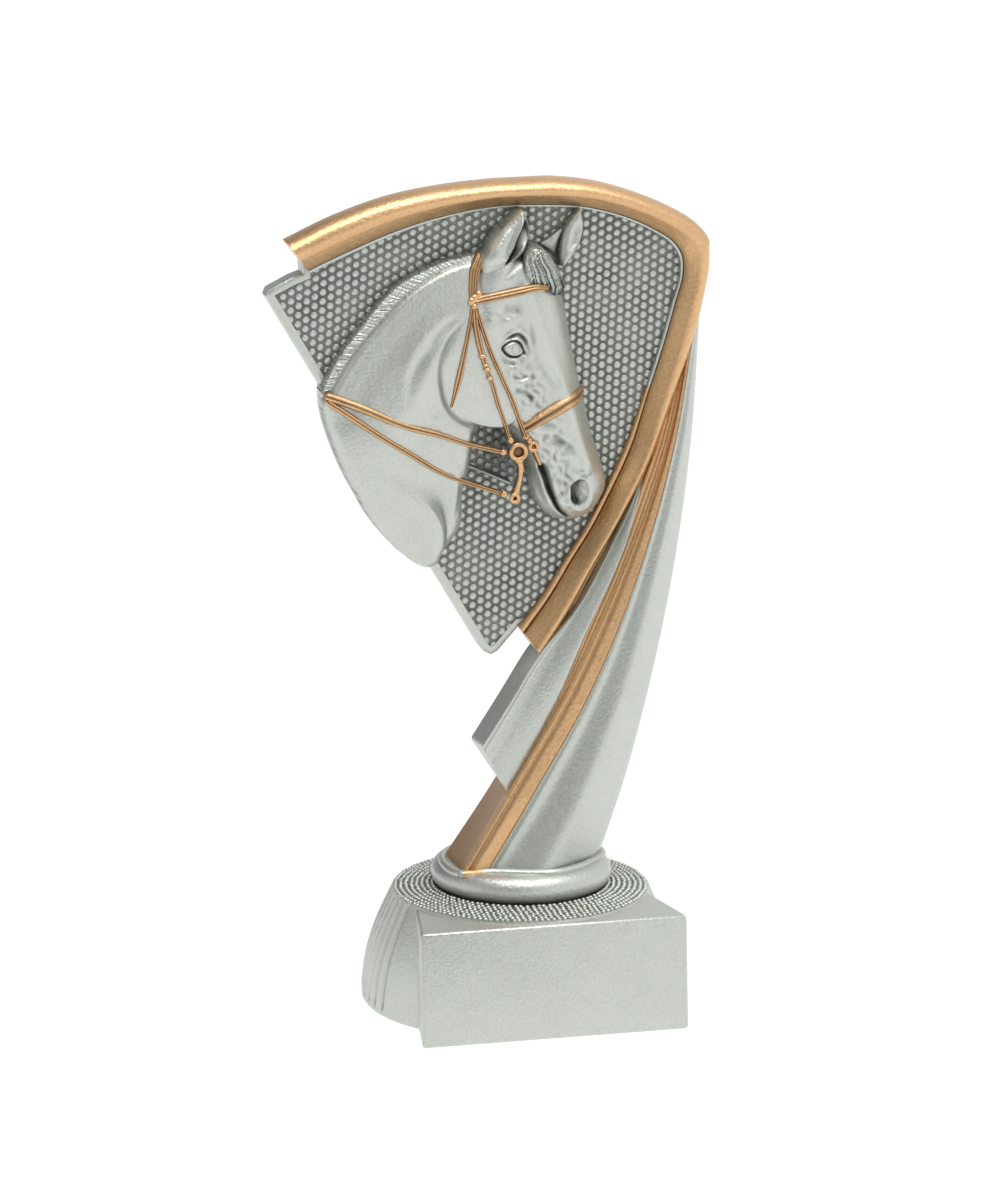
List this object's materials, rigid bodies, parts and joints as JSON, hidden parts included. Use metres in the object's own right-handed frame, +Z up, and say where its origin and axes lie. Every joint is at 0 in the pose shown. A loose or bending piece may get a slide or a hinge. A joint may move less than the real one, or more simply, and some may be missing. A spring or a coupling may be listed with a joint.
{
  "type": "horse trophy",
  "caption": "Cast trophy: a bridled horse's head in relief on a framed panel, on a leaning fluted column, with a pleated plinth that has a bare plate face.",
  "frame": {"origin": "underside of the plinth, below the middle of its round skirt", "axes": "+Z up, -Y the front that shows the horse and the plate face, +X to the right seen from the front"},
  "size_m": [0.096, 0.0673, 0.18],
  "materials": {
    "silver_paint": "satin silver paint with a dark wash in the recesses, over cast resin",
    "gold_paint": "satin copper-gold paint on the frame, the rib and the bridle, over cast resin"
  },
  "bodies": {
    "root": {"horse_trophy_casting": "silver_paint"}
  },
  "joints": []
}
